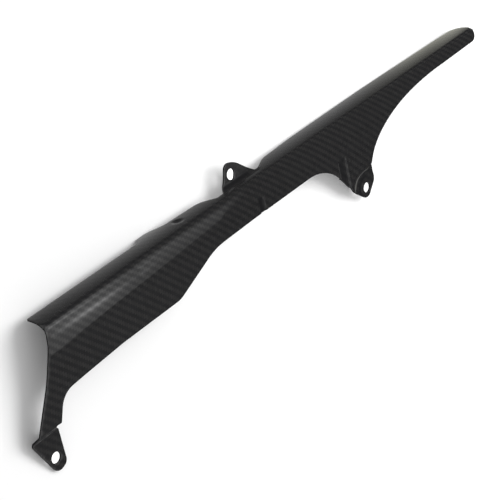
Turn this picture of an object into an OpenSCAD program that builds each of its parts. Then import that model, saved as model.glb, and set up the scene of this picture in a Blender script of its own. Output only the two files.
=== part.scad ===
// Motorcycle chain guard: one moulded shell with a side panel, a top flange and three bolt tabs.
// X runs back along the crease, Y runs inboard, Z runs up. The origin is the front bolt hole.

/* [Overall] */
// Length of the crease, from the front end to the tail
blade_l = 588.5; // [560:0.5:620]
// Wall thickness of the moulding
wall = 1.8; // [1.4:0.1:2.1]

/* [Top flange] */
// Distance from the outer face to the flange edge, front half
flange_front = 24.2; // [22:0.1:27]
// Distance from the outer face to the flange edge, rear half
flange_rear = 27; // [25:0.1:30]
// Extra reach of the small lip on the flange edge
lip_out = 6.4; // [4:0.1:8]
// Distance from the outer face to the flange edge beside the ear
flange_neck = 14; // [13:0.1:15.5]
// Rise of the arched flange above the crease
flange_rise = 1.6; // [0.6:0.1:2.2]
// Distance from the crease to the top of the arch
arch_y = 13; // [11:0.5:16]

/* [Side panel] */
// Panel depth below the crease over the front half
panel_front = 48.8; // [45:0.1:52]
// Panel depth below the crease over the middle
panel_mid = 27.3; // [25:0.1:30]
// Panel depth below the crease at the tail
panel_tail = 11; // [9.5:0.1:13]
// Corner radius of the tail in side view
tail_r = 9; // [5:0.5:9]

/* [Shoulder] */
// Inboard lean of the crease at the front end
lean_front = 4.5; // [3.5:0.1:6.5]
// Inboard lean of the crease along the rest
lean_rear = 7; // [5:0.1:8]
// Height of the rolled shoulder, front half
roll_front = 24; // [20:0.5:26]
// Height of the rolled shoulder, rear half
roll_rear = 36; // [30:0.5:40]
// Height of the rounded crease
crease_h = 1.5; // [1.4:0.1:2]

/* [Bolt holes] */
// Diameter of the three bolt holes
bolt_d = 9; // [6.5:0.1:10]
// Front hole to ear hole, along X
ear_pitch = 258; // [250:0.5:266]
// Front hole to rear tab hole, along X
rear_pitch = 407; // [400:0.5:414]
// Front hole ahead of the front end of the crease
front_lead = 22; // [20:0.5:24]
// Front hole below the crease
front_drop = 99; // [95:0.5:103]
// Rear hole below the crease
rear_drop = 70.9; // [69:0.1:73]
// Ear hole above the crease
ear_rise = 9.6; // [9:0.1:11]

/* [Front leg and tab] */
// Depth of the step line below the crease
step_z = 73; // [71:0.5:75]
// Inboard step of the front tab
step_in = 6.5; // [4:0.1:8]
// Height of the sloped step wall
step_h = 6; // [5:0.1:8]
// Width of the leg at its foot
foot_w = 23.5; // [21:0.5:25]
// Depth of the relief notch in the step
notch_d = 5.5; // [3:0.5:8]

/* [Ear] */
// Distance from the outer face to the ear face
ear_in = 17.5; // [16.5:0.1:19]
// Bend radius at the foot of the ear
ear_bend = 6.5; // [4:0.1:7]

/* [Rear tab] */
// Inboard depth of the rear bolt seat
seat_in = 3; // [2:0.1:4]
// Radius of the rear bolt seat
seat_r = 13.6; // [12:0.1:14]

/* [Surface marks] */
// Depth of the two pressed grooves in the panel
groove_d = 0.8; // [0.3:0.1:0.9]
// Depth of the dimple in the flange
dimple_d = 0.8; // [0.3:0.1:0.9]

/* [Hidden] */
big = 60;
front_x = -front_lead;
ear_x = front_x + ear_pitch;
rear_x = front_x + rear_pitch;
rear_z = -rear_drop;
foot_x = front_x - 14.3;
break_x = ear_x - 104;
tail_x = rear_x + (blade_l - rear_x) * 0.66;

// Outlines are lists of [u, v, r]: a corner and the radius that rounds it.
function unit(v) = v / norm(v);
function corner(p, c, n, r) =
    let(a = unit([p[0] - c[0], p[1] - c[1]]),
        b = unit([n[0] - c[0], n[1] - c[1]]),
        half = acos(max(-1, min(1, a * b))) / 2)
    r <= 0 || half > 89.5 ? [[c[0], c[1]]] :
    let(m = [c[0], c[1]] + unit(a + b) * r / sin(half),
        s = [c[0], c[1]] + a * r / tan(half) - m,
        e = [c[0], c[1]] + b * r / tan(half) - m,
        turn = 180 - 2 * half,
        steps = max(2, ceil(turn / (r > 30 ? 3 : 11))),
        dir = s[0] * e[1] - s[1] * e[0] > 0 ? 1 : -1)
    [for (i = [0:steps])
        let(t = dir * turn * i / steps)
        m + [s[0] * cos(t) - s[1] * sin(t), s[0] * sin(t) + s[1] * cos(t)]];
function rounded(q) =
    let(n = len(q))
    [for (i = [0:n - 1]) each corner(q[(i + n - 1) % n], q[i], q[(i + 1) % n], q[i][2])];
function bezier(a, b, c, d, n) =
    [for (i = [1:n])
        let(t = i / n, s = 1 - t)
        s * s * s * a + 3 * s * s * t * b + 3 * s * t * t * c + t * t * t * d];

// Section of the shell: flange, crease arc, rolled shoulder and flat panel.
function ramp(x, x0, x1, a, b) = a + (b - a) * max(0, min(1, (x - x0) / (x1 - x0)));
function lean(x) = ramp(x, 0, 100, lean_front, lean_rear);
function roll(x) = ramp(x, 200, 340, roll_front, roll_rear);
function lean_y(x, z) = lean(x) * pow(max(0, 1 + z / roll(x)), 3);
function lean_dy(x, z) = 3 * lean(x) / roll(x) * pow(max(0, 1 + z / roll(x)), 2);
// The crease is a true arc between the foot of the flange and the top of the roll.
arch_a = atan(2 * flange_rise / arch_y);
function steep(x) = 90 - atan(lean_dy(x, -crease_h));
function crease_leg(x) = crease_h / sin(steep(x));
function crease_r(x) = crease_leg(x) / tan((steep(x) - arch_a) / 2);
function crease_y(x) =
    lean_y(x, -crease_h) + crease_h * lean_dy(x, -crease_h) + crease_leg(x) * cos(arch_a);
function crease_z(x) = crease_leg(x) * sin(arch_a);
function arch_z(u) = flange_rise * (1 - pow(1 - u / arch_y, 2));
function flange_z(x, y) = crease_z(x) + arch_z(y - crease_y(x));
function roll_z(x, k) = -crease_h - (roll(x) - crease_h) * k;
// Each entry is [y, z, ny, nz]: an outer point and the direction into the wall.
function section(x) = concat(
    [for (u = [34, 27, 21, 16, 12, 8, 4])
        let(slope = 2 * flange_rise / arch_y * (1 - u / arch_y), d = unit([slope, -1]))
        [crease_y(x) + u, crease_z(x) + arch_z(u), d[0], d[1]]],
    [for (i = [0:5])
        let(t = arch_a + (steep(x) - arch_a) * i / 5, r = crease_r(x))
        [crease_y(x) + r * (sin(arch_a) - sin(t)), crease_z(x) + r * (cos(t) - cos(arch_a)),
            sin(t), -cos(t)]],
    [for (k = [0.08, 0.17, 0.27, 0.38, 0.5, 0.63, 0.78, 1])
        let(z = roll_z(x, k), d = unit([1, -lean_dy(x, z)]))
        [lean_y(x, z), z, d[0], d[1]]],
    [[0, -step_z - 20, 1, 0]]);
stations = [-big, 0, 34, 67, 100, 150, 200, 228, 256, 284, 312, 340, 450, blade_l + big];

module shell() {
    n = len(section(0));
    m = len(stations);
    outer = [for (x = stations, p = section(x)) [x, p[0], p[1]]];
    inner = [for (x = stations, p = section(x)) [x, p[0] + wall * p[2], p[1] + wall * p[3]]];
    skins = [for (i = [0:m - 2], j = [0:n - 2])
        let(a = i * n + j, b = a + 1, c = a + n, d = c + 1, k = n * m)
        each [[a, d, b], [a, c, d], [k + a, k + b, k + d], [k + a, k + d, k + c]]];
    edges = [for (i = [0:m - 2])
        let(a = i * n, c = a + n, e = a + n - 1, g = c + n - 1, k = n * m)
        each [[a, k + c, c], [a, k + a, k + c], [e, g, k + g], [e, k + g, k + e]]];
    last = (m - 1) * n;
    ends = [for (j = [0:n - 2])
        let(k = n * m)
        each [[j, k + j + 1, k + j], [j, j + 1, k + j + 1],
              [last + j, k + last + j, k + last + j + 1], [last + j, k + last + j + 1, last + j + 1]]];
    polyhedron(points = concat(outer, inner), faces = concat(skins, edges, ends), convexity = 6);
}

// Side view of the panel and the leg, above the step line of the front tab.
function side_outline() = concat(
    rounded([
        [-1, 9, 0],
        [-1.4, -3.5, 10],
        [-5.3, -16, 60],
        [-15.3, -38.5, 120],
        [foot_x, -step_z, 0],
        [foot_x + foot_w, -step_z, 1.2],
        [-3.6, -panel_front - 4.4, 17],
        [break_x * 5 / 33, -panel_front - 2.6, 120],
        [break_x * 16 / 33, -panel_front, 150],
        [break_x, -panel_front + 0.6, 22],
        [break_x + 50, -panel_mid - 1.2, 60],
        [ear_x - 6, -panel_mid, 80],
        [rear_x - 50, -panel_mid + 0.4, 52],
        [rear_x - 20.5, rear_z + 5, 40],
        [rear_x - 0.9, rear_z - 11.1, 7],
        [rear_x + 13.4, rear_z + 3.2, 8],
        [rear_x + 12.4, rear_z + 13.2, 6],
        [rear_x + 9.8, rear_z + 18.4, 0]]),
    bezier([rear_x + 9.8, rear_z + 18.4], [rear_x + 19.2, rear_z + 41],
           [rear_x + 55, -panel_tail - 1], [tail_x, -panel_tail], 16),
    rounded([
        [tail_x + 5, -panel_tail, 0],
        [blade_l, -panel_tail + 0.8, tail_r],
        [blade_l, 9, 0]]));

// Top view of the flange.
function top_outline() = rounded([
    [-1, -2, 0],
    [-1, lean_rear - 1, 8],
    [1.4, flange_front, 1.5],
    [ear_x - 110.5, flange_front, 1],
    [ear_x - 106.5, flange_front + lip_out, 3],
    [ear_x - 95.5, flange_front + lip_out + 0.8, 5],
    [ear_x - 79, flange_front, 14],
    [ear_x - 40, flange_front - 1.6, 20],
    [ear_x - 26, flange_neck - 0.6, 6],
    [ear_x + 27, flange_neck, 5],
    [ear_x + 47, flange_rear - 3.2, 22],
    [ear_x + 90, flange_rear - 0.6, 150],
    [rear_x + 45, flange_rear + 0.4, 500],
    [blade_l - 30, flange_rear - 3.2, 70],
    [blade_l + 0.5, flange_rear - 4.8, 20],
    [blade_l + 0.5, -2, 0]]);

module side_prism(points, y0, y1) {
    translate([0, y1, 0])
        rotate([90, 0, 0])
            linear_extrude(height = y1 - y0)
                polygon(points);
}

module blade() {
    intersection() {
        shell();
        union() {
            side_prism(side_outline(), -1, lean_rear + 1.5);
            translate([0, 0, -wall - 1])
                linear_extrude(height = wall + flange_rise + 2)
                    polygon(top_outline());
        }
    }
}

module folded(points, x0, x1) {
    translate([x0, 0, 0])
        rotate([90, 0, 90])
            linear_extrude(height = x1 - x0)
                polygon(points);
}

// Front tab: the step wall and the tab face below it.
function step_profile() =
    let(z0 = -step_z, z1 = z0 - step_h, k = wall * tan(atan2(step_in, step_h) / 2))
    rounded([
        [0, z0 + 12, 0],
        [0, z0, 1],
        [step_in, z1, 1],
        [step_in, -front_drop - 20, 0],
        [step_in + wall, -front_drop - 20, 0],
        [step_in + wall, z1 + k, 1],
        [wall, z0 + k, 1],
        [wall, z0 + 12, 0]]);
function tab_outline() = rounded([
    [foot_x + 3, -step_z + 8, 0],
    [foot_x, -step_z, 6],
    [foot_x - 3.4, -step_z - 7, 3.8],
    [front_x - 2, -front_drop - 13.2, 7],
    [front_x + 9.1, -front_drop - 8.6, 5],
    [front_x + 9.7, -step_z - step_h + 0.6, 1.5],
    [foot_x + foot_w - notch_d, -step_z - step_h + 0.6, 0],
    [foot_x + foot_w - notch_d, -step_z + 0.4, 0],
    [foot_x + foot_w - notch_d, -step_z + 8, 0]]);

module front_tab() {
    intersection() {
        folded(step_profile(), foot_x - 12, front_x + 20);
        side_prism(tab_outline(), -1, step_in + wall + 1);
    }
}

// Ear: it leaves the flange by a bend and stands parallel to the panel.
function ear_profile() =
    rounded([
        [lean_rear + 2.5, flange_z(ear_x, lean_rear + 2.5), 0],
        [ear_in, flange_z(ear_x, ear_in), ear_bend],
        [ear_in, ear_rise + 20, 0],
        [ear_in + wall, ear_rise + 20, 0],
        [ear_in + wall, flange_z(ear_x, ear_in) - wall, ear_bend + wall],
        [lean_rear + 2.5, flange_z(ear_x, lean_rear + 2.5) - wall, 0]]);
function ear_outline() = rounded([
    [ear_x - 25, -wall - 1, 0],
    [ear_x - 16, 1.4, 6],
    [ear_x - 9.5, 7, 10],
    [ear_x - 5, ear_rise + 11.3, 5.5],
    [ear_x + 7.5, ear_rise + 8, 25],
    [ear_x + 27.5, 0.4, 9],
    [ear_x + 32, -wall - 1, 0]]);

module ear() {
    intersection() {
        folded(ear_profile(), ear_x - 30, ear_x + 45);
        side_prism(ear_outline(), 0, ear_in + wall + 1);
    }
}

// Rear seat: a dished step that is open toward the tab end.
module seat_disc(x, y, z, r, rise) {
    for (d = [[0, 0], [30, -30], [30, rise]])
        translate([rear_x + x + d[0], y, rear_z + z + d[1]])
            rotate([90, 0, 0])
                cylinder(r = r, h = 0.02, $fn = 48);
}
module seat(rim_y, seat_y) {
    hull() {
        seat_disc(-9, rim_y, 3.6, seat_r + 2.8, 2);
        seat_disc(0, seat_y, 0, seat_r, -4);
    }
}

// A pressed groove of width w that runs down the panel from z0 to z1.
module groove(x, w, z0, z1) {
    translate([x, 0, z1])
        linear_extrude(height = z0 - z1)
            polygon([[-w / 2 - 0.8, -0.2], [-w / 2, groove_d], [w / 2, groove_d], [w / 2 + 0.8, -0.2]]);
}

// A dimple of width 2r and length 3.4r, turned by the angle a in top view.
module dimple(x, y, r, a) {
    ball = (r * r + dimple_d * dimple_d) / (2 * dimple_d);
    translate([x, y, flange_z(x, y) + ball - dimple_d])
        rotate([0, 0, a])
            scale([1.7, 1, 1])
                sphere(r = ball, $fn = 72);
}

module pressed_blade() {
    difference() {
        union() {
            blade();
            intersection() {
                seat(wall - 0.4, seat_in + wall);
                side_prism(side_outline(), 0, seat_in + wall + 1);
            }
        }
        seat(-0.4, seat_in);
        groove(rear_x - 29.8, 9.5, rear_z + 41.5, rear_z + 5);
        groove(ear_x + 9.6, 5, -14, -panel_mid - 5);
        dimple(ear_x - 71, flange_front - 7, 3.5, -25);
    }
}

module bolt_hole(x, y, z) {
    translate([x, y + wall + 1, z])
        rotate([90, 0, 0])
            cylinder(d = bolt_d, h = wall + 2, $fn = 64);
}

module chain_guard() {
    color([0.06, 0.06, 0.065])
        translate([-front_x, -step_in - wall / 2, front_drop])
            difference() {
                union() {
                    pressed_blade();
                    front_tab();
                    ear();
                }
                bolt_hole(front_x, step_in, -front_drop);
                bolt_hole(ear_x, ear_in, ear_rise);
                bolt_hole(rear_x, seat_in, rear_z);
            }
}

chain_guard();
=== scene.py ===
import math

import bpy
import numpy as np
from mathutils import Matrix, Vector
from mathutils.geometry import delaunay_2d_cdt


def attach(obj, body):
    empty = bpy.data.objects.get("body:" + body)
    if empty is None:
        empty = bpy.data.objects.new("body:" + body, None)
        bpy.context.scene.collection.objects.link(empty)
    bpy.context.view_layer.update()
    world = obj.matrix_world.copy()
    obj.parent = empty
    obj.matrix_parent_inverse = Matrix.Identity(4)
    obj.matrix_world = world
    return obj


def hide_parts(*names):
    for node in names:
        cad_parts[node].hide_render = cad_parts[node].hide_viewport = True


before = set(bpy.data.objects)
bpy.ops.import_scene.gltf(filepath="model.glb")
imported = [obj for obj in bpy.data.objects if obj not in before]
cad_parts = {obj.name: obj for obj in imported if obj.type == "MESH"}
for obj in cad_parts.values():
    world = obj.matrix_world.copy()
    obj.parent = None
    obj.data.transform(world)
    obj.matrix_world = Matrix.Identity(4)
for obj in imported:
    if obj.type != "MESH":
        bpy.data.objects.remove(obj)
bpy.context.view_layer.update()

# A dressed chain guard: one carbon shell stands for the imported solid, on a white sheet.
# Sizes are in millimetres and the same as in the CAD source. The panel's outer face is y = 0
# and the crease is z = 0 here, and TO_ROW moves a point into the row frame.
BLADE_L, WALL = 588.5, 1.8
FLANGE_FRONT, FLANGE_REAR, LIP_OUT, FLANGE_NECK = 24.2, 27.0, 6.4, 14.0
RISE, ARCH = 1.6, 13.0
LEAN_FRONT, LEAN_REAR = 4.5, 7.0
ROLL_FRONT, ROLL_REAR = 24.0, 36.0
PANEL_FRONT, PANEL_MID, PANEL_TAIL, TAIL_R = 48.8, 27.3, 11.0, 9.0
CREASE_H = 1.5
BOLT_R = 4.5
FRONT = (-22.0, -99.0)
EAR = (236.0, 9.6)
REAR = (385.0, -70.9)
STEP_Z, STEP_IN, STEP_H, FOOT_W, NOTCH = 73.0, 6.5, 6.0, 23.5, 5.5
EAR_IN, EAR_BEND = 17.5, 6.5
SEAT_IN, SEAT_R = 3.0, 13.6
GROOVE_D, DIMPLE_D = 0.8, 0.8
ex, ez = EAR
rx, rz = REAR
FOOT = FRONT[0] - 14.3
BREAK_X = ex - 104
TAIL_X = rx + (BLADE_L - rx) * 0.66
TO_ROW = np.array([-FRONT[0], -STEP_IN - WALL / 2, -FRONT[1]])
EDGE_R = 0.45  # rounding of the cut edges
CLOTH = 100.0  # one UV unit
TOW = 2.0  # width of a tow of the cloth


# Section of the shell
def ramp(x, x0, x1, a, b):
    return a + (b - a) * np.clip((x - x0) / (x1 - x0), 0, 1)


def smooth(t):
    t = np.clip(t, 0, 1)
    return t * t * (3 - 2 * t)


def lean(x):
    return ramp(x, 0, 100, LEAN_FRONT, LEAN_REAR)


def roll(x):
    return ramp(x, 200, 340, ROLL_FRONT, ROLL_REAR)


def lean_y(x, z):
    return lean(x) * np.clip(1 + z / roll(x), 0, None) ** 3


def lean_dy(x, z):
    return 3 * lean(x) / roll(x) * np.clip(1 + z / roll(x), 0, None) ** 2


FOOT_A = math.atan(2 * RISE / ARCH)  # slope of the flange at its foot


def arch_z(u):
    return RISE * (1 - (1 - u / ARCH) ** 2)


def crease(x):
    """(radius, centre y, centre z, angle at the top of the roll) of the crease arc."""
    steep = math.pi / 2 - np.arctan(lean_dy(x, -CREASE_H))
    leg = CREASE_H / np.sin(steep)
    r = leg / np.tan((steep - FOOT_A) / 2)
    y = lean_y(x, -CREASE_H) + CREASE_H * lean_dy(x, -CREASE_H) + leg * math.cos(FOOT_A)
    return r, y, leg * math.sin(FOOT_A), steep


def flange_z(x, y):
    _, cy, cz, _ = crease(x)
    return cz + arch_z(y - cy)


SPAN = 36  # the section reaches this far over the flange
EAR_FOOT = LEAN_REAR + 2.5  # where the ear's profile leaves the flange
EAR_TOP = 40  # above the ear's tip


def profile(x, eared):
    """Dense (y, z) of the section at one x, from the flange's far end down the panel."""
    r, cy, cz, steep = (float(v) for v in crease(x))

    def flange(u):
        return np.c_[cy + u, cz + arch_z(u)]

    over = flange(np.linspace(SPAN, 0, 73)[:-1])
    if eared:
        # The flange turns up by a bend and stands parallel to the panel.
        z0, z1 = float(flange_z(ex, EAR_FOOT)), float(flange_z(ex, EAR_IN))
        slope = math.atan2(z1 - z0, EAR_IN - EAR_FOOT)
        t = EAR_BEND * math.tan((math.pi / 2 - slope) / 2)
        by, bz = EAR_IN - t * math.cos(slope), z1 - t * math.sin(slope)
        my, mz = by - EAR_BEND * math.sin(slope), bz + EAR_BEND * math.cos(slope)
        turn = np.linspace(math.pi / 2, slope, 14)
        face = np.linspace(EAR_TOP, mz + 0.5, 60)
        over = np.r_[
            np.c_[np.full_like(face, EAR_IN), face],
            np.c_[my + EAR_BEND * np.sin(turn), mz - EAR_BEND * np.cos(turn)],
            flange(np.linspace(by - cy - 0.3, 0, 14)[:-1]),
        ]
    th = np.linspace(FOOT_A, steep, 12)
    arc = np.c_[
        cy + r * (math.sin(FOOT_A) - np.sin(th)), cz + r * (np.cos(th) - math.cos(FOOT_A))
    ]
    z = -CREASE_H - (float(roll(x)) - CREASE_H) * np.linspace(0, 1, 50)[1:]
    flat = np.array([(0.0, z[-1] - d) for d in (1, 30, 100)])
    pts = np.r_[over, arc, np.c_[lean_y(x, z), z], flat]
    s = np.r_[0, np.cumsum(np.hypot(*np.diff(pts, axis=0).T))]
    middle = s[len(over)] + r * (steep - FOOT_A) / 2
    return s - middle, pts


# The shell is drawn on its developed surface: x, and the distance s down the section from the
# middle of the crease.
X_STEP, S_STEP = 2.0, 0.25
XS = np.arange(-60, 640, X_STEP)
SS = np.arange(-46, 150, S_STEP)


def tables(eared):
    cuts = [profile(float(x), eared) for x in XS]
    return [np.array([np.interp(SS, s, p[:, k]) for s, p in cuts]) for k in (0, 1)]


PLAIN_Y, PLAIN_Z = tables(False)
EARED_Y, EARED_Z = tables(True)


def look(table, x, s):
    i = np.clip((x - XS[0]) / X_STEP, 0, len(XS) - 1.001)
    j = np.clip((s - SS[0]) / S_STEP, 0, len(SS) - 1.001)
    i0, j0 = i.astype(int), j.astype(int)
    a, b = i - i0, j - j0
    near_s = table[i0, j0] * (1 - a) + table[i0 + 1, j0] * a
    far_s = table[i0, j0 + 1] * (1 - a) + table[i0 + 1, j0 + 1] * a
    return near_s * (1 - b) + far_s * b


def s_of_z(x, z):
    """Distance down the section at which the panel has height z."""
    s, p = profile(float(x), False)
    m = s > 0
    return float(np.interp(-z, -p[m, 1], s[m]))


def s_of_y(x, y):
    """Distance (negative) at which the flange has width y."""
    s, p = profile(float(x), False)
    m = s < 0
    return float(np.interp(-y, -p[m, 0], s[m]))


def s_of_ear(z):
    """Distance (negative) at which the ear has height z."""
    s, p = profile(ex, True)
    m = (s < 0) & (p[:, 0] > EAR_FOOT + 1)
    return float(np.interp(-z, -p[m, 1], s[m]))


# Outlines, as in the CAD source
def unit(v):
    v = np.array(v, float)
    return v / np.linalg.norm(v)


def rounded(q, step=1.2):
    """An open outline through the corners [u, v, r], each rounded by its radius r."""
    out = [np.array(q[0][:2], float)]
    for before, corner, after in zip(q[:-2], q[1:-1], q[2:]):
        p, c, e = (np.array(v[:2], float) for v in (before, corner, after))
        r = corner[2]
        a, b = unit(p - c), unit(e - c)
        half = math.acos(max(-1, min(1, float(a @ b)))) / 2
        if r <= 0 or half > math.radians(89.5):
            out.append(c)
            continue
        m = c + unit(a + b) * r / math.sin(half)
        s = c + a * r / math.tan(half) - m
        f = c + b * r / math.tan(half) - m
        turn = math.pi - 2 * half
        sign = 1 if s[0] * f[1] - s[1] * f[0] > 0 else -1
        k = max(2, math.ceil(turn * r / step), math.ceil(turn / 0.3))
        for t in np.linspace(0, sign * turn, k + 1):
            u, v = math.cos(t), math.sin(t)
            out.append(m + np.array([s[0] * u - s[1] * v, s[0] * v + s[1] * u]))
    out.append(np.array(q[-1][:2], float))
    return np.array(out)


def bezier(a, b, c, d, n):
    t = np.linspace(0, 1, n + 1)[1:, None]
    a, b, c, d = (np.array(v, float) for v in (a, b, c, d))
    return (1 - t) ** 3 * a + 3 * (1 - t) ** 2 * t * b + 3 * (1 - t) * t * t * c + t**3 * d


def dense(p, step=1.6):
    """The open polyline p with points about step apart."""
    out = [p[0]]
    for a, b in zip(p[:-1], p[1:]):
        n = max(1, math.ceil(np.linalg.norm(b - a) / step))
        out += [a + (b - a) * k / n for k in range(1, n + 1)]
    return np.array(out)


# Side view: from the front of the crease down the leg, round the tab and along the lower edge.
TAB_Z = -STEP_Z - STEP_H
side = dense(
    np.r_[
        rounded(
            [
                [-1, 9, 0],
                [-1.4, -3.5, 10],
                [-5.3, -16, 60],
                [-15.3, -38.5, 120],
                [FOOT, -STEP_Z, 6],
                [FOOT - 3.4, -STEP_Z - 7, 3.8],
                [FRONT[0] - 2, FRONT[1] - 13.2, 7],
                [FRONT[0] + 9.1, FRONT[1] - 8.6, 5],
                [FRONT[0] + 9.7, TAB_Z + 0.6, 1.5],
                [FOOT + FOOT_W - NOTCH, TAB_Z + 0.6, 0.8],
                [FOOT + FOOT_W - NOTCH, -STEP_Z + 0.4, 0.8],
                [FOOT + FOOT_W, -STEP_Z, 1.2],
                [-3.6, -PANEL_FRONT - 4.4, 17],
                [BREAK_X * 5 / 33, -PANEL_FRONT - 2.6, 120],
                [BREAK_X * 16 / 33, -PANEL_FRONT, 150],
                [BREAK_X, -PANEL_FRONT + 0.6, 22],
                [BREAK_X + 50, -PANEL_MID - 1.2, 60],
                [ex - 6, -PANEL_MID, 80],
                [rx - 50, -PANEL_MID + 0.4, 52],
                [rx - 20.5, rz + 5, 40],
                [rx - 0.9, rz - 11.1, 7],
                [rx + 13.4, rz + 3.2, 8],
                [rx + 12.4, rz + 13.2, 6],
                [rx + 9.8, rz + 18.4, 0],
            ]
        ),
        bezier(
            [rx + 9.8, rz + 18.4],
            [rx + 19.2, rz + 41],
            [rx + 55, -PANEL_TAIL - 1],
            [TAIL_X, -PANEL_TAIL],
            60,
        ),
        rounded(
            [
                [TAIL_X + 5, -PANEL_TAIL, 0],
                [BLADE_L, -PANEL_TAIL + 0.8, TAIL_R],
                [BLADE_L, 9, 0],
            ]
        ),
    ]
)
side = side[side[:, 1] < -0.6]
# Top view of the flange, ahead of the ear and behind it.
top_front = dense(
    rounded(
        [
            [-1, -2, 0],
            [-1, LEAN_REAR - 1, 8],
            [1.4, FLANGE_FRONT, 1.5],
            [ex - 110.5, FLANGE_FRONT, 1],
            [ex - 106.5, FLANGE_FRONT + LIP_OUT, 3],
            [ex - 95.5, FLANGE_FRONT + LIP_OUT + 0.8, 5],
            [ex - 79, FLANGE_FRONT, 14],
            [ex - 40, FLANGE_FRONT - 1.6, 20],
            [ex - 26, FLANGE_NECK - 0.6, 6],
            [ex - 15, FLANGE_NECK - 0.4, 0],
        ]
    )
)
top_rear = dense(
    rounded(
        [
            [ex + 24, FLANGE_NECK, 0],
            [ex + 27, FLANGE_NECK, 5],
            [ex + 47, FLANGE_REAR - 3.2, 22],
            [ex + 90, FLANGE_REAR - 0.6, 150],
            [rx + 45, FLANGE_REAR + 0.4, 500],
            [BLADE_L - 30, FLANGE_REAR - 3.2, 70],
            [BLADE_L + 0.5, FLANGE_REAR - 4.8, 20],
            [BLADE_L + 0.5, -2, 0],
        ]
    )
)
# Side view of the ear.
ear_side = dense(
    rounded(
        [
            [ex - 25, -WALL - 1, 0],
            [ex - 16, 1.4, 6],
            [ex - 9.5, 7, 10],
            [ex - 5, ez + 11.3, 5.5],
            [ex + 7.5, ez + 8, 25],
            [ex + 27.5, 0.4, 9],
            [ex + 32, -WALL - 1, 0],
        ],
        step=0.8,
    ),
    1.0,
)


def join_ear():
    """Flange edge, ear and flange edge again, in developed (x, s)."""
    past_crease = 9
    a = np.array([(x, s_of_y(x, y)) for x, y in top_front if y > past_crease])
    b = np.array([(x, s_of_y(x, y)) for x, y in top_rear if y > past_crease])
    # Below the height where its bend ends, the outer skin lies nearer than mid wall.
    bend_z = float(flange_z(ex, EAR_IN - 5)) + EAR_BEND
    k = EAR_BEND / (EAR_BEND + WALL / 2)

    def skin(z):
        return z if z > bend_z else bend_z - (bend_z - z) * k

    e = np.array([(x, s_of_ear(skin(z))) for x, z in ear_side if z > WALL])
    # The ear rises from the flange edge by small fillets.
    i = max(n for n in range(len(a)) if a[n, 0] < e[0, 0] - 1.5)
    j = min(n for n in range(len(b)) if b[n, 0] > e[-1, 0] + 3.0)
    left = bezier(a[i], a[i] + (0.6, -0.05), e[0] + (-0.4, 0.3), e[0], 3)
    right = bezier(e[-1], e[-1] + (0.6, 0.6), b[j] + (-1.5, -0.1), b[j], 6)
    return np.r_[a[: i + 1], left, e[1:], right[:-1], b[j:]]


def clean(p, tol=0.35):
    """The closed polyline p without points that lie closer than tol to the one before."""
    out = [p[0]]
    for q in p[1:]:
        if np.linalg.norm(q - out[-1]) > tol:
            out.append(q)
    if np.linalg.norm(out[0] - out[-1]) < tol:
        out.pop()
    return np.array(out)


def area(p):
    return 0.5 * np.sum(p[:, 0] * np.roll(p[:, 1], -1) - np.roll(p[:, 0], -1) * p[:, 1])


# At both ends of the crease the flange's edge runs straight into the panel's.
lower = np.array([(x, s_of_z(x, z)) for x, z in side])
outline = clean(np.r_[join_ear(), lower[::-1]])
if area(outline) < 0:
    outline = outline[::-1]


def hole(x, s, n=40):
    a = np.linspace(0, 2 * math.pi, n, endpoint=False)
    return np.c_[x + BOLT_R * np.cos(a), s + BOLT_R * np.sin(a)][::-1]


holes = [
    hole(FRONT[0], s_of_z(*FRONT)),
    hole(ex, s_of_ear(ez)),
    hole(rx, s_of_z(rx, rz)),
]


# The surface
def seat_drop(x, z):
    """Inboard depth of the rear bolt seat: a flat dish with a sloped wall, open at one end."""
    px, pz = x - rx, z - rz

    def outside(cx, cz, rise, r):
        """Distance outside a disc that is swept toward (30, -30) and (30, rise)."""
        a, b = px - cx, pz - cz
        ang = np.arctan2(b, a)
        best = np.full(np.shape(px), 1e9)
        for d in ((30, -30), (30, rise)):
            u = unit(d)
            t = np.clip(a * u[0] + b * u[1], 0, None)
            best = np.minimum(best, np.hypot(a - t * u[0], b - t * u[1]))
        wedge = (ang >= math.atan2(-30, 30)) & (ang <= math.atan2(rise, 30))
        return np.where(wedge, 0.0, best) - r

    seat = outside(0.0, 0.0, -4, SEAT_R)
    rim = outside(-9.0, 3.6, 2, SEAT_R + 2.8)
    t = np.where(seat <= 0, 1.0, np.where(rim >= 0, 0.0, -rim / np.maximum(seat - rim, 1e-6)))
    # The wall starts a little above the panel, and its two corners are rounded.
    lift, soft = 0.4, 0.16
    y = (SEAT_IN + lift) * t - lift
    y = 0.5 * (y + np.sqrt(y * y + soft * soft)) - 0.5 * (math.hypot(lift, soft) - lift)
    short = SEAT_IN - y
    return SEAT_IN - 0.5 * (short + np.sqrt(short**2 + soft * soft)) + soft / 2 * t


def groove(x, c, w):
    """A shallow flat-bottomed groove across x with sloped sides."""
    return smooth((w / 2 + 0.8 - np.abs(x - c)) / 0.8)


def dimple(x, y):
    """Squared distance from the dimple's centre in the flange, 1 at its long round edge."""
    r, longer = 3.5, 1.7
    c, s = math.cos(math.radians(-25)), math.sin(math.radians(-25))
    dx, dy = x - (ex - 71), y - (FLANGE_FRONT - 7)
    along, across = dx * c + dy * s, dy * c - dx * s
    return ((along / longer) ** 2 + across**2) / r**2


# Rows of s that part the panel from the crease and the crease from the flange.
PANEL_S, FLANGE_S = 3, -4


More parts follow.
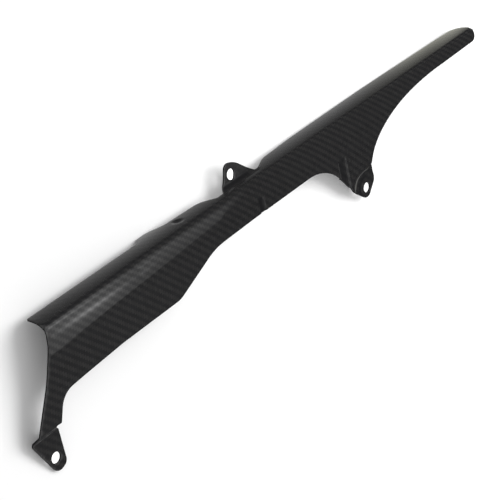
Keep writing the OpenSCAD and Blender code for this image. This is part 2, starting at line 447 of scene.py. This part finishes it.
def surface(x, s):
    """Outer surface in the panel datum, in millimetres."""
    w = smooth((x - (ex - 22)) / 5) * smooth((ex + 34 - x) / 6)
    y = look(PLAIN_Y, x, s) * (1 - w) + look(EARED_Y, x, s) * w
    z = look(PLAIN_Z, x, s) * (1 - w) + look(EARED_Z, x, s) * w
    panel = s > PANEL_S
    y = y + np.where(panel, seat_drop(x, z), 0)
    # The step of the front tab, with soft corners.
    t, soft = np.clip((-STEP_Z - z) / STEP_H, 0, 1), 0.10
    low, high = t**2 / (2 * soft), 1 - soft - (1 - t) ** 2 / (2 * soft)
    step = np.where(t < soft, low, np.where(t > 1 - soft, high, t - soft / 2)) / (1 - soft)
    y = y + np.where(x < 20, STEP_IN * step, 0)
    rear = groove(x, rx - 29.8, 9.5) * smooth((rz + 41.5 - z) / 4) * smooth((z - rz - 3) / 6)
    front = groove(x, ex + 9.6, 5) * smooth((-14 - z) / 4)
    y = y + GROOVE_D * np.where(panel, np.maximum(rear, front), 0)
    z = z - np.where(s < FLANGE_S, DIMPLE_D * np.clip(1 - dimple(x, y), 0, 1), 0)
    return np.stack([x, y, z], -1)


def painted_shade_and_glint(x, s):
    """Painted shade and painted highlights on the outer skin: above 0 it is dark and loses its
    gloss, below 0 it is lighter.
    """

    def band(v, mid, wide, power=2):
        return np.exp(-(((v - mid) / wide) ** power))

    z = look(PLAIN_Z, x, s)
    # Painted shade and painted highlight arcs on the wall of the rear seat and round its hole, on
    # the side away from the tab's end.
    t = seat_drop(x, z) / SEAT_IN
    r = np.hypot(x - rx, z - rz)
    away = smooth(((rx - x) * 0.9 + (z - rz) * 0.45 - 1) / 7)
    dark = band(t, 0.2, 0.14) + band(t, 0.86, 0.12) + 0.8 * away * band(r, 10.5, 1.6)
    painted_glint = away * np.maximum(0.55 * band(t, 0.55, 0.13), 0.3 * band(r, 7.6, 0.8))
    # Painted shade in the two grooves, and a painted highlight line along the edge of the rear
    # one.
    top = smooth((rz + 42 - z) / 3)
    dark = dark + 0.6 * band(x, rx - 31.0, 4.2, 4) * top * smooth((z - rz - 4) / 6)
    dark = dark + 0.85 * band(x, ex + 9.6, 3.4, 4) * smooth((-13 - z) / 3)
    painted_glint = painted_glint + 0.4 * band(x, rx - 35.4, 0.6) * top * smooth((z - rz - 18) / 5)
    panel = np.clip(dark, 0, 0.95) * (1 - painted_glint / 0.55) - painted_glint
    # Painted shade: a dark line along the crease, the dimple and the foot of the ear.
    line = 0.65 * band(s, -0.6, 0.8) * smooth((ex - 30 - x) / 20)
    pit = 0.9 * band(dimple(x, look(PLAIN_Y, x, s)), 0, 0.45)
    in_ear = smooth((x - ex + 24) / 3) * smooth((ex + 26 - x) / 12)
    foot = 0.9 * in_ear * band(s, s_of_ear(3.0), 2.2)
    return np.where(s > PANEL_S, panel, np.maximum(np.where(s < FLANGE_S, pit, line), foot))


def frame_at(x, s):
    """Point, inward normal and the two surface directions."""
    h = 0.2
    p = surface(x, s)
    tx = surface(x + h, s) - surface(x - h, s)
    ts = surface(x, s + h) - surface(x, s - h)
    n = np.cross(tx, ts)
    n /= np.linalg.norm(n, axis=-1, keepdims=True)
    tx /= np.linalg.norm(tx, axis=-1, keepdims=True)
    ts -= np.sum(ts * tx, -1, keepdims=True) * tx
    ts /= np.linalg.norm(ts, axis=-1, keepdims=True)
    return p, n, tx, ts


# Grid inside the outline
def inset(p, d):
    """The closed loop moved by d to its left, into the sheet, and the direction of each move."""
    t1, t2 = p - np.roll(p, 1, 0), np.roll(p, -1, 0) - p
    t1 /= np.linalg.norm(t1, axis=1, keepdims=True)
    t2 /= np.linalg.norm(t2, axis=1, keepdims=True)
    n1 = np.c_[-t1[:, 1], t1[:, 0]]
    m = n1 + np.c_[-t2[:, 1], t2[:, 0]]
    m /= np.maximum(np.sum(m * n1, 1, keepdims=True), 0.6)
    return p + m * d, m


def inside(poly, q):
    x, y = q[:, 0], q[:, 1]
    odd = np.zeros(len(q), bool)
    for (x0, y0), (x1, y1) in zip(poly, np.roll(poly, -1, 0)):
        c = (y0 > y) != (y1 > y)
        with np.errstate(divide="ignore", invalid="ignore"):
            odd ^= c & (x < (x1 - x0) * (y - y0) / (y1 - y0) + x0)
    return odd


def within(loops, q):
    """Inside the first loop and outside the others."""
    keep = inside(loops[0], q)
    for p in loops[1:]:
        keep &= ~inside(p, q)
    return keep


def near(poly, q, d, reach=6):
    hit = np.zeros(len(q), bool)
    for a, b in zip(poly, np.roll(poly, -1, 0)):
        ab = b - a
        m = (np.abs(q[:, 0] - a[0]) < reach) & (np.abs(q[:, 1] - a[1]) < reach)
        w = q[m] - a
        t = np.clip(w @ ab / max(float(ab @ ab), 1e-9), 0, 1)
        hit[np.flatnonzero(m)[np.hypot(*(w - t[:, None] * ab).T) < d]] = True
    return hit


# The rows are closer on the crease and the roll, and the boxes are finer still.
GRID_X = 3.2
s_rows = np.unique(
    np.r_[
        np.arange(-44, -2, 2.0),
        np.arange(-2.4, 2.41, 0.4),
        np.arange(3, 24, 1.0),
        np.arange(24, 130, 2.2),
    ]
)
pts = []
for k, s in enumerate(s_rows):
    pts += [(x, s) for x in np.arange(-46 + GRID_X / 2 * (k % 2), 600, GRID_X)]
pts = np.array(pts)
seat_s, lip_s = s_of_z(rx, rz), s_of_y(ex - 71, FLANGE_FRONT)
boxes = [
    (rx - 32, rx + 20, seat_s - 26, seat_s + 16, 0.6),  # rear seat
    (FOOT - 8, FRONT[0] + 16, s_of_z(-20, -72), s_of_z(-20, -80.5), 0.7),  # step
    (ex - 24, ex + 38, s_of_ear(ez + 13), s_of_ear(2) + 8, 1.0),  # ear
    (rx - 38, rx - 22, 28, 80, 0.6),  # rear groove
    (ex + 5, ex + 15, 12, 40, 0.9),  # front groove
    (ex - 79, ex - 63, lip_s, s_of_y(ex - 71, FLANGE_FRONT - 13), 0.7),  # dimple
]
for x0, x1, s0, s1, step in boxes:
    m = (pts[:, 0] > x0) & (pts[:, 0] < x1) & (pts[:, 1] > s0) & (pts[:, 1] < s1)
    gx, gs = np.meshgrid(np.arange(x0 + step / 2, x1, step), np.arange(s0 + step / 2, s1, step))
    pts = np.r_[pts[~m], np.c_[gx.ravel(), gs.ravel()]]

loops = [outline] + holes
inner = [inset(p, EDGE_R) for p in loops]
rims_in = [p for p, m in inner]
keep = within(rims_in, pts)
for p in rims_in:
    keep &= ~near(p, pts, 0.45)
pts = pts[keep]

flat, edges = [], []
for p in rims_in:
    start, n = len(flat), len(p)
    flat += [Vector(v) for v in p]
    edges += [(start + k, start + (k + 1) % n) for k in range(n)]
flat += [Vector(v) for v in pts]
cdt_points, _, cdt_faces, sources = delaunay_2d_cdt(flat, edges, [], 0, 1e-5)[:4]
grid = np.array([tuple(v) for v in cdt_points])
tri = np.array([f for f in cdt_faces if len(f) == 3])
tri = tri[within(rims_in, grid[tri].mean(1))]
where = {j: k for k, src in enumerate(sources) for j in src}

# Outer skin, rim and inner skin
# Each point also gets a shader value: the dark cut edge on the rims, painted shade and painted
# highlights on the outer skin.
verts, uvs, edge_and_painted_values = [], [], []


def add(p3, uv, dark=0.0):
    verts.extend(p3)
    uvs.extend(uv)
    edge_and_painted_values.extend(np.broadcast_to(dark, len(p3)))
    return len(verts) - len(p3)


P, N, _, _ = frame_at(grid[:, 0], grid[:, 1])
# The outer skin takes the painted shade and painted highlights.
base_out = add(P, grid, painted_shade_and_glint(grid[:, 0], grid[:, 1]))
base_in = add(P + N * WALL, grid)
e1, e2 = grid[tri][:, 1] - grid[tri][:, 0], grid[tri][:, 2] - grid[tri][:, 0]
flip = e1[:, 0] * e2[:, 1] - e2[:, 0] * e1[:, 1] < 0
tri[flip] = tri[flip][:, ::-1]
faces = []
for a, b, c in tri:
    faces.append((base_out + a, base_out + c, base_out + b))
    faces.append((base_in + a, base_in + b, base_in + c))

ROUND = 4  # faces in each rounded edge
start = 0
for p, m in inner:
    n = len(p)
    c, nn, tx, ts = frame_at(p[:, 0], p[:, 1])
    out = -(m[:, :1] * tx + m[:, 1:] * ts)
    rows = [[base_out + where[start + k] for k in range(n)]]
    for i in range(1, ROUND + 1):
        t = math.pi / 2 * i / ROUND
        q = c + out * EDGE_R * math.sin(t) + nn * EDGE_R * (1 - math.cos(t))
        b = add(q, p - m * EDGE_R * math.sin(t), max(0.0, i - 2) / (ROUND - 2))
        rows.append([b + k for k in range(n)])
    for i in range(ROUND, 0, -1):
        t = math.pi / 2 * i / ROUND
        q = c + out * EDGE_R * math.sin(t) + nn * (WALL - EDGE_R * (1 - math.cos(t)))
        b = add(q, p - m * (EDGE_R + WALL * 0.6), 1.0)
        rows.append([b + k for k in range(n)])
    rows.append([base_in + where[start + k] for k in range(n)])
    for r0, r1 in zip(rows[:-1], rows[1:]):
        for k in range(n):
            j = (k + 1) % n
            faces.append((r0[k], r0[j], r1[j], r1[k]))
    start += n

co = (np.array(verts) + TO_ROW) / 1000
mesh = bpy.data.meshes.new("chain_guard_shell")
mesh.from_pydata([tuple(v) for v in co], [], faces)
uv = mesh.uv_layers.new(name="cloth")
loop_v = np.empty(len(mesh.loops), np.int32)
mesh.loops.foreach_get("vertex_index", loop_v)
uv.data.foreach_set("uv", (np.array(uvs)[loop_v] / CLOTH).astype(np.float32).ravel())
# On the outer skin this holds painted shade (above 0) and painted highlights (below 0), and on
# the rims the dark cut edge.
rim = mesh.attributes.new("edge_or_painted_light", "FLOAT", "POINT")
rim.data.foreach_set("value", np.array(edge_and_painted_values, np.float32))
mesh.shade_smooth()
mesh.update()
shell = bpy.data.objects.new("chain_guard_shell", mesh)
bpy.context.scene.collection.objects.link(shell)
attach(shell, "root")
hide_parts("chain_guard")


# Materials
class Nodes:
    """Short calls that build a node tree."""

    def __init__(self, tree):
        self.t = tree
        self.t.nodes.clear()

    def new(self, kind, **kw):
        n = self.t.nodes.new(kind)
        for k, v in kw.items():
            setattr(n, k, v)
        return n

    def put(self, sock, v):
        if isinstance(v, bpy.types.NodeSocket):
            self.t.links.new(v, sock)
        else:
            sock.default_value = v

    def fill(self, node, **kw):
        """Sets inputs by name, with _ for a space."""
        for k, v in kw.items():
            self.put(node.inputs[k.replace("_", " ")], v)
        return node

    def math(self, op, a, b=0.0):
        n = self.new("ShaderNodeMath", operation=op)
        self.put(n.inputs[0], a)
        self.put(n.inputs[1], b)
        return n.outputs[0]

    def fold(self, op, values):
        out = values[0]
        for v in values[1:]:
            out = self.math(op, out, v)
        return out

    def plus(self, *values):
        return self.fold("ADD", values)

    def times(self, *values):
        return self.fold("MULTIPLY", values)

    def minus(self, a, b):
        return self.math("SUBTRACT", a, b)

    def smooth(self, v, lo, hi, a=0.0, b=1.0):
        """A smooth step from a to b while v goes from lo to hi."""
        n = self.new("ShaderNodeMapRange", interpolation_type="SMOOTHSTEP")
        self.fill(n, Value=v, From_Min=lo, From_Max=hi, To_Min=a, To_Max=b)
        return n.outputs[0]

    def split(self, vec):
        n = self.new("ShaderNodeSeparateXYZ")
        self.put(n.inputs[0], vec)
        return n.outputs

    def join(self, x, y, z=0.0):
        n = self.new("ShaderNodeCombineXYZ")
        for sock, v in zip(n.inputs, (x, y, z)):
            self.put(sock, v)
        return n.outputs[0]

    def mix(self, f, a, b):
        n = self.new("ShaderNodeMix", data_type="RGBA")
        for i, v in ((0, f), (6, a), (7, b)):
            self.put(n.inputs[i], v)
        return n.outputs[2]

    def shader(self, kind, *inputs):
        n = self.new(kind)
        for sock, v in zip(n.inputs, inputs):
            self.put(sock, v)
        return n.outputs[0]

    def output(self, kind, surface):
        self.put(self.new(kind).inputs[0], surface)

    def noise(self, vec, scale, detail):
        n = self.fill(self.new("ShaderNodeTexNoise"), Vector=vec, Scale=scale, Detail=detail)
        return n.outputs["Fac"]

    def bump(self, height, strength, distance):
        n = self.new("ShaderNodeBump")
        self.fill(n, Height=height, Strength=strength, Distance=distance)
        return n.outputs[0]


def material(name):
    mat = bpy.data.materials.new(name)
    mat.use_nodes = True
    return mat, Nodes(mat.node_tree)


def grey(v, tint=1.0):
    return (v, v, v * tint, 1)


def carbon():
    mat, g = material("carbon_twill")
    cloth = g.new("ShaderNodeUVMap", uv_map="cloth").outputs[0]
    x, s, _ = g.split(cloth)
    u, v = g.times(x, CLOTH / TOW), g.times(s, CLOTH / TOW)
    i, j = g.math("FLOOR", u), g.math("FLOOR", v)
    # 2x2 twill: a warp tow passes over two weft tows and under the next two.
    over = g.math("LESS_THAN", g.math("FLOORED_MODULO", g.minus(i, j), 4.0), 1.5)
    under = g.minus(1.0, over)
    fu, fv = (g.minus(g.math("FRACT", q), 0.5) for q in (u, v))
    across = g.plus(g.times(over, fu), g.times(under, fv))
    crown = g.minus(1.0, g.times(across, across, 3.2))
    warp_no, weft_no = g.plus(g.times(over, i), g.times(under, 400.0)), g.times(under, j)
    rnd = g.new("ShaderNodeTexWhiteNoise", noise_dimensions="2D")
    tow = g.fill(rnd, Vector=g.join(warp_no, weft_no)).outputs["Value"]
    # Fine filaments along each tow.
    along = g.join(g.times(across, 9.0), g.times(g.plus(u, v), 0.25), g.times(tow, 17.0))
    fil = g.noise(along, 3.0, 3.0)
    # The weave shows less through the thicker resin of the flange.
    side = g.smooth(s, -4 / CLOTH, 2 / CLOTH, 0.35, 1.0)
    pick = g.plus(0.5, g.times(g.minus(over, 0.5), side))
    tone = g.mix(pick, (0.0142, 0.0142, 0.0149, 1), (0.0222, 0.0218, 0.0218, 1))
    jitter = g.plus(0.84, g.times(tow, 0.22))
    grain = g.plus(0.86, g.times(fil, 0.28))
    level = g.times(jitter, grain, g.plus(0.86, g.times(crown, 0.16)))
    # The ear's face is lighter in patches of noise.
    off_ear = g.math("ABSOLUTE", g.minus(x, (ex + 2) / CLOTH))
    in_ear = g.smooth(off_ear, 12 / CLOTH, 26 / CLOTH, 1.0, 0.0)
    up_ear = g.smooth(s, -15 / CLOTH, -9 / CLOTH, 1.0, 0.0)
    level = g.plus(level, g.times(in_ear, up_ear, g.noise(cloth, 28.0, 3.0), 1.1))
    scale = g.new("ShaderNodeVectorMath", operation="SCALE")
    g.put(scale.inputs[0], tone)
    g.put(scale.inputs["Scale"], level)
    # Above 0 the base is dark and loses its gloss: bare resin on the cut edge, painted shade on
    # the outer skin. Below 0 it is a lighter painted highlight.
    edge_or_painted_fac = g.new("ShaderNodeAttribute", attribute_name="edge_or_painted_light").outputs["Fac"]
    edge_or_painted_shade = g.math("MAXIMUM", edge_or_painted_fac, 0.0)
    painted_glint = g.math("MAXIMUM", g.times(edge_or_painted_fac, -1.0), 0.0)
    weave = g.mix(edge_or_painted_shade, scale.outputs[0], grey(0.010, 1.1))
    gloss = g.times(g.plus(0.84, g.times(pick, 0.24)), g.minus(1.0, g.times(edge_or_painted_shade, 0.85)))
    # The clear coat has a faint orange peel.
    place = g.new("ShaderNodeTexCoord").outputs["Object"]
    b = g.fill(
        g.new("ShaderNodeBsdfPrincipled"),
        Base_Color=g.mix(painted_glint, weave, grey(0.12)),
        Roughness=0.42,
        Specular_IOR_Level=0.02,
        Coat_Weight=gloss,
        Coat_Roughness=0.02,
        Coat_IOR=1.5,
        Normal=g.bump(g.plus(g.times(crown, 0.7), g.times(fil, 0.25)), 0.12, 0.00012),
        Coat_Normal=g.bump(g.noise(place, 260.0, 2.0), 0.05, 0.00003),
    )
    g.output("ShaderNodeOutputMaterial", b.outputs[0])
    return mat


mesh.materials.append(carbon())

# Sheet under the guard
SHEET_Y, SHEET_BY_X, SHEET_BY_Z = 32.6, -0.0102, 0.2156  # its plane in the panel datum
X0, X1, Z0, Z1 = -700, 1300, -700, 420
corners = [
    tuple((np.array([x, SHEET_Y + SHEET_BY_X * x + SHEET_BY_Z * z, z]) + TO_ROW) / 1000)
    for x, z in ((X0, Z0), (X1, Z0), (X1, Z1), (X0, Z1))
]
sheet_mesh = bpy.data.meshes.new("sheet")
sheet_mesh.from_pydata(corners, [], [(0, 1, 2, 3)])
sheet = bpy.data.objects.new("sheet", sheet_mesh)
bpy.context.scene.collection.objects.link(sheet)

# Where the camera sees the sheet through the front and ear holes, in metres: the centres of
# painted glow spots.
BEHIND_HOLES = ((0.2706, 0.0232, 0.1016), (0.0026, 0.0035, -0.0025))
# The sheet's glow in the clear coat changes along x: from, to, change.
GLOW_FRONT = 0.80
GLOW_STEPS = ((0.04, 0.14, 0.45), (0.22, 0.33, -0.20), (0.47, 0.58, 0.75), (0.57, 0.64, 1.4))
GLOW_TOP, GLOW_FADE = 0.099, 0.026  # it dims above this height

mat, g = material("white_sheet")
geo = g.new("ShaderNodeNewGeometry")
ray = g.new("ShaderNodeLightPath").outputs
sx, _, sz = g.split(geo.outputs["Position"])
# For the camera the sheet has a painted glow: it is blown out behind the two holes, and the
# shadow is painted paler under the middle and the tail.
painted_glow = g.smooth(sx, 0.1, 0.3, 0.0, 0.14)
for spot in BEHIND_HOLES:
    gap = g.new("ShaderNodeVectorMath", operation="DISTANCE")
    g.put(gap.inputs[0], geo.outputs["Position"])
    g.put(gap.inputs[1], spot)
    painted_glow = g.plus(painted_glow, g.smooth(gap.outputs["Value"], 0.0054, 0.0076, 1.0, 0.0))
lit = g.shader(
    "ShaderNodeAddShader",
    g.shader("ShaderNodeBsdfDiffuse", grey(0.86)),
    g.shader("ShaderNodeEmission", grey(1), g.times(painted_glow, ray["Is Camera Ray"])),
)
# In the clear coat the sheet dims with height and behind the rear tab, and it is brighter and
# warmer behind the tail.
amp = g.plus(GLOW_FRONT, *(g.smooth(sx, lo, hi, 0.0, change) for lo, hi, change in GLOW_STEPS))
above_top = g.math("MAXIMUM", g.minus(sz, GLOW_TOP), 0.0)
dim = g.math("EXPONENT", g.times(above_top, -1.0 / GLOW_FADE))
low_rear = g.times(g.smooth(sx, 0.3, 0.38, 0.0, 0.72), g.minus(1.0, g.smooth(sz, 0.0, 0.07)))
mirrored = g.shader(
    "ShaderNodeEmission",
    g.mix(g.smooth(sx, 0.42, 0.58), grey(1), grey(1, 0.88)),
    g.times(amp, dim, g.minus(0.78, low_rear)),
)
front = g.shader("ShaderNodeMixShader", ray["Is Glossy Ray"], lit, mirrored)
clear = g.shader("ShaderNodeBsdfTransparent")
both = g.shader("ShaderNodeMixShader", geo.outputs["Backfacing"], front, clear)
g.output("ShaderNodeOutputMaterial", both)
sheet_mesh.materials.append(mat)

# Studio light
world = bpy.data.worlds.new("studio")
bpy.context.scene.world = world
world.use_nodes = True
w = Nodes(world.node_tree)
dx, dy, dz = w.split(w.new("ShaderNodeTexCoord").outputs["Generated"])

# A softbox on the outboard side, seen in the clear coat: a slanted lower edge, a soft upper edge,
# an upright edge toward the tail and two tubes. u runs along it, and dx, dy, dz is the direction.
# Most of its numbers come from a least-squares fit to tones in the photo, and some were then
# changed.
TUBES = (  # level, middle and half width along dx, height and its slope by u, half thickness
    (3.9, 0.5894, 0.0171, -0.030, 0.417, 0.067),
    (1.8, 0.5847, 0.0303, 0.215, 0.439, 0.017),
)
u = w.times(w.minus(dx, 0.58), 10.0)
u = w.math("MINIMUM", w.math("MAXIMUM", u, -0.5), 1.2)
turned = w.minus(1.0, w.smooth(dx, 0.43, 0.52))  # faces turned past the softbox
lower_edge = w.plus(-0.358, w.times(u, 0.339), w.times(u, u, 0.263))
lower_edge = w.plus(w.math("MAXIMUM", lower_edge, -0.42), w.times(turned, 0.45))
above = w.smooth(w.minus(dz, lower_edge), -0.012, 0.012)
below = w.smooth(w.plus(dz, w.times(u, 0.158)), 0.458, 0.638, 1.0, 0.0)
ahead = w.smooth(dx, 0.6657, 0.6777, 1.0, 0.0)
outboard = w.smooth(w.times(dy, -1.0), 0.0, 0.1)
plain = w.plus(0.711, w.smooth(dz, -0.1, 0.4, 0.0, 0.443), w.times(u, -0.434))
box = w.times(below, plain)
for strength, mid, wide, height, slope, thin in TUBES:
    a = w.math("DIVIDE", w.minus(dx, mid), wide)
    b = w.math("DIVIDE", w.minus(dz, w.plus(height, w.times(u, slope))), thin)
    fade = w.math("EXPONENT", w.times(a, a, -1.0))
    box = w.plus(box, w.math("DIVIDE", w.times(fade, strength), w.plus(1.0, w.times(b, b))))
box = w.times(above, ahead, outboard, box, 0.88)
haze = w.plus(0.02, w.smooth(dx, 0.60, 0.68, 0.07, 0.0), w.times(turned, 0.55))
inboard = w.times(w.smooth(dy, -0.1, 0.5), w.smooth(w.times(dz, -1.0), -0.3, 0.5), 0.25)
glossy = w.plus(box, haze, inboard)
# Matt surfaces see an even dome, and the camera sees white.
ray = w.new("ShaderNodeLightPath").outputs
dome = w.times(w.plus(0.69, w.times(dz, 0.05)), ray["Is Diffuse Ray"])
level = w.plus(dome, w.times(glossy, w.minus(1.0, ray["Is Diffuse Ray"])))
level = w.math("MAXIMUM", level, ray["Is Camera Ray"])
w.output("ShaderNodeOutputWorld", w.shader("ShaderNodeBackground", grey(1), level))

# The key lamp only throws the shadow, so the clear coat doesn't mirror it.
KEY_TOWARD, KEY_AWAY, KEY_SIZE, KEY_WATTS = Vector((0.49, -0.83, 0.26)), 2.2, 1.8, 36.0
light = bpy.data.lights.new("key", "AREA")
light.shape, light.size, light.energy = "DISK", KEY_SIZE, KEY_WATTS
key = bpy.data.objects.new("key", light)
toward = KEY_TOWARD.normalized()
key.location = Vector((0.27, 0.0, 0.07)) + toward * KEY_AWAY
key.rotation_mode = "QUATERNION"
key.rotation_quaternion = toward.to_track_quat("Z", "Y")
key.visible_glossy = False
key.visible_camera = False
bpy.context.scene.collection.objects.link(key)

# Camera. Its axes, place and focal length come from a least-squares solve on the photo.
PHOTO_PX, FOCAL_PX, CENTRE_PX = 500.0, 1698.03, 249.5
SENSOR = 36.0
RIGHT = (0.6080921, -0.76647586, -0.20673355)
DOWN = (-0.44864409, -0.11695864, -0.88602435)
AHEAD = (0.654937, 0.6315342, -0.41499649)
EYE = (-0.680890612, -0.868629099, 0.521262203)  # metres in the panel datum
cam = bpy.data.objects.new("camera", bpy.data.cameras.new("camera"))
bpy.context.scene.collection.objects.link(cam)
m = np.eye(4)
m[:3, 0], m[:3, 1], m[:3, 2] = RIGHT, -np.array(DOWN), -np.array(AHEAD)
m[:3, 3] = np.array(EYE) + TO_ROW / 1000
cam.matrix_world = Matrix(m.tolist())
cam.data.sensor_width = SENSOR
cam.data.lens = FOCAL_PX * SENSOR / PHOTO_PX
cam.data.shift_x = (CENTRE_PX - PHOTO_PX / 2) / PHOTO_PX
cam.data.shift_y = (PHOTO_PX / 2 - CENTRE_PX) / PHOTO_PX
cam.data.clip_start, cam.data.clip_end = 0.05, 20.0
bpy.context.scene.camera = cam
bpy.context.scene.view_settings.view_transform = "Standard"
